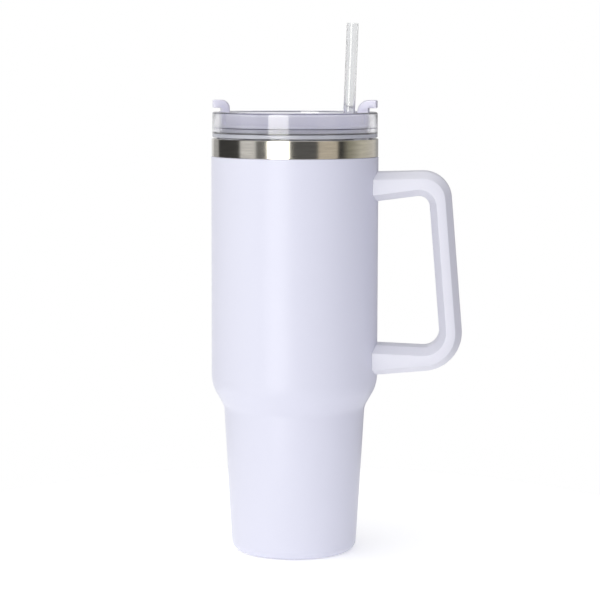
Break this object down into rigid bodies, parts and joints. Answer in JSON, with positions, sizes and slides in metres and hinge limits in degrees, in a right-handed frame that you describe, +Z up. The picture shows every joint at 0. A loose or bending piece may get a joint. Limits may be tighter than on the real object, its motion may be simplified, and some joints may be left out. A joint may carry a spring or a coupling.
{
  "type": "insulated tumbler",
  "caption": "Tall double-walled steel tumbler with a stepped foot, side handle, clear lid, rotating hooked cover and clear straw.",
  "frame": {"origin": "centre of the flat base, on the cup's axis, at the table's surface", "axes": "+Z up along the cup's axis, +X from the axis toward the handle, +Y to the left of the handle seen from behind the handle"},
  "size_m": [0.1507, 0.1, 0.3186],
  "materials": {
    "coated_steel": "fine satin powder coat in pale lavender",
    "bare_steel": "brushed around the axis",
    "lavender_plastic": "moulded, satin, pale lavender",
    "clear_plastic": "clear, polished",
    "silicone": "soft silicone, pale lavender"
  },
  "bodies": {
    "cup": {"outer_shell": "coated_steel", "inner_liner": "bare_steel", "vacuum_base": "bare_steel", "vacuum_seal_bead": "bare_steel", "getter_capsule": "bare_steel", "base_cap": "bare_steel", "handle_shell": "lavender_plastic", "handle_inner_cover": "lavender_plastic", "handle_bracket_upper": "bare_steel", "handle_screw_upper": "bare_steel", "screw_plug_upper": "lavender_plastic", "handle_bracket_lower": "bare_steel", "handle_screw_lower": "bare_steel", "screw_plug_lower": "lavender_plastic"},
    "lid": {"lid_base": "clear_plastic", "lid_gasket": "silicone", "pivot_cap": "lavender_plastic", "pivot_o_ring": "silicone"},
    "cover": {"rotating_cover": "lavender_plastic", "cover_underseal": "silicone", "straw_grommet": "silicone"},
    "straw": {"straw": "clear_plastic"}
  },
  "joints": [
    {"name": "lid_lift", "type": "slide", "parent": "cup", "child": "lid", "axis": [0, 0, 1], "range_m": [0, 0.25]},
    {"name": "cover_turn", "type": "hinge", "parent": "lid", "child": "cover", "pos_m": [0, 0, 0.256], "axis": [0, 0, 1], "range_deg": [0, 75]},
    {"name": "straw_slide", "type": "slide", "parent": "cover", "child": "straw", "axis": [0.0348, 0.0024, 0.9994], "range_m": [0, 0.26]}
  ]
}
